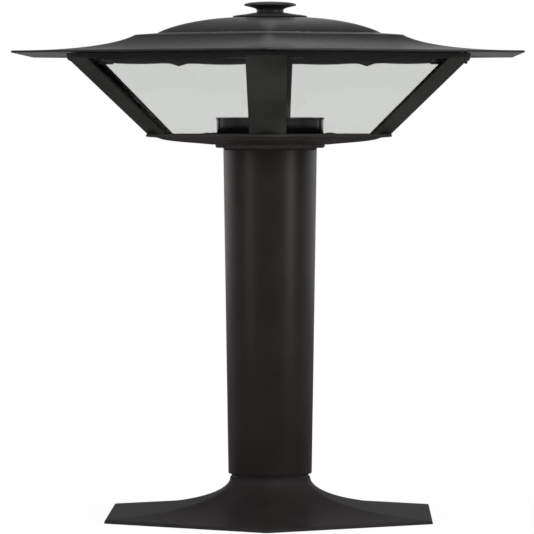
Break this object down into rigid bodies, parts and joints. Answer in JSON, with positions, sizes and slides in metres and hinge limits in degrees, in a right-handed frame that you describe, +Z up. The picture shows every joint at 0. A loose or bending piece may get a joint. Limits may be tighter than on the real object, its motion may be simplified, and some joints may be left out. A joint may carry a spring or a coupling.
{
  "type": "outdoor floor lamp",
  "caption": "Low hexagonal outdoor lantern: clear leaning glass under a tiered lift-off roof with a screw-on finial, on a tapered post with a flared base.",
  "frame": {"origin": "on the ground under the middle of the base, on the lamp's axis", "axes": "+Z up along the post; one corner of the lantern faces -Y, the flat sides face +X and -X"},
  "size_m": [0.3858, 0.4454, 0.4],
  "materials": {
    "black_coat": "satin powder coat, near black",
    "gloss_black": "gloss black enamel",
    "clear_glass": "clear float glass with ground edges",
    "steel": "plain zinc-plated or stainless steel",
    "rubber": "matt black",
    "aluminium": "turned, bare",
    "white_board": "white solder mask",
    "phosphor": "matt yellow",
    "opal": "opal, semi-gloss",
    "pale_plastic": "moulded, matt"
  },
  "bodies": {
    "lamp": {"base_casting": "black_coat", "bridge_screws": "steel", "cable_grommet": "rubber", "clip_screws": "black_coat", "diffuser": "opal", "diffuser_ring": "gloss_black", "diffuser_seal": "rubber", "driver_clips": "pale_plastic", "glass_clips": "black_coat", "glass_pane_1": "clear_glass", "glass_pane_2": "clear_glass", "glass_pane_3": "clear_glass", "glass_pane_4": "clear_glass", "glass_pane_5": "clear_glass", "glass_pane_6": "clear_glass", "heat_spreader": "aluminium", "lamp_cup": "gloss_black", "light_board": "white_board", "light_chips": "phosphor", "light_driver": "pale_plastic", "mounting_plate": "steel", "plate_nut": "steel", "post": "black_coat", "post_seal_lower": "rubber", "post_seal_upper": "rubber", "roof_bridge": "steel", "roof_gasket": "rubber", "roof_stud": "steel", "strut_1": "black_coat", "strut_2": "black_coat", "strut_3": "black_coat", "strut_4": "black_coat", "strut_5": "black_coat", "strut_6": "black_coat", "strut_foot_screws": "steel", "strut_top_screws": "steel", "stud_nuts": "steel", "terminal_block": "pale_plastic", "tie_rod": "steel", "tie_rod_nut": "steel", "tie_rod_washer": "steel", "top_ring": "black_coat", "tray": "black_coat", "unit_screws": "steel"},
    "roof": {"roof_skirt": "black_coat", "roof_dome": "black_coat", "dome_screws": "steel", "finial_washer": "rubber", "finial_rosette": "black_coat"},
    "finial": {"finial_knob": "black_coat"}
  },
  "joints": [
    {"name": "roof_lift", "type": "slide", "parent": "lamp", "child": "roof", "axis": [0, 0, 1], "range_m": [0, 0.09]},
    {"name": "finial_turn", "type": "hinge", "parent": "roof", "child": "finial", "pos_m": [0, 0, 0.391], "axis": [0, 0, 1], "range_deg": [0, 1440]}
  ]
}
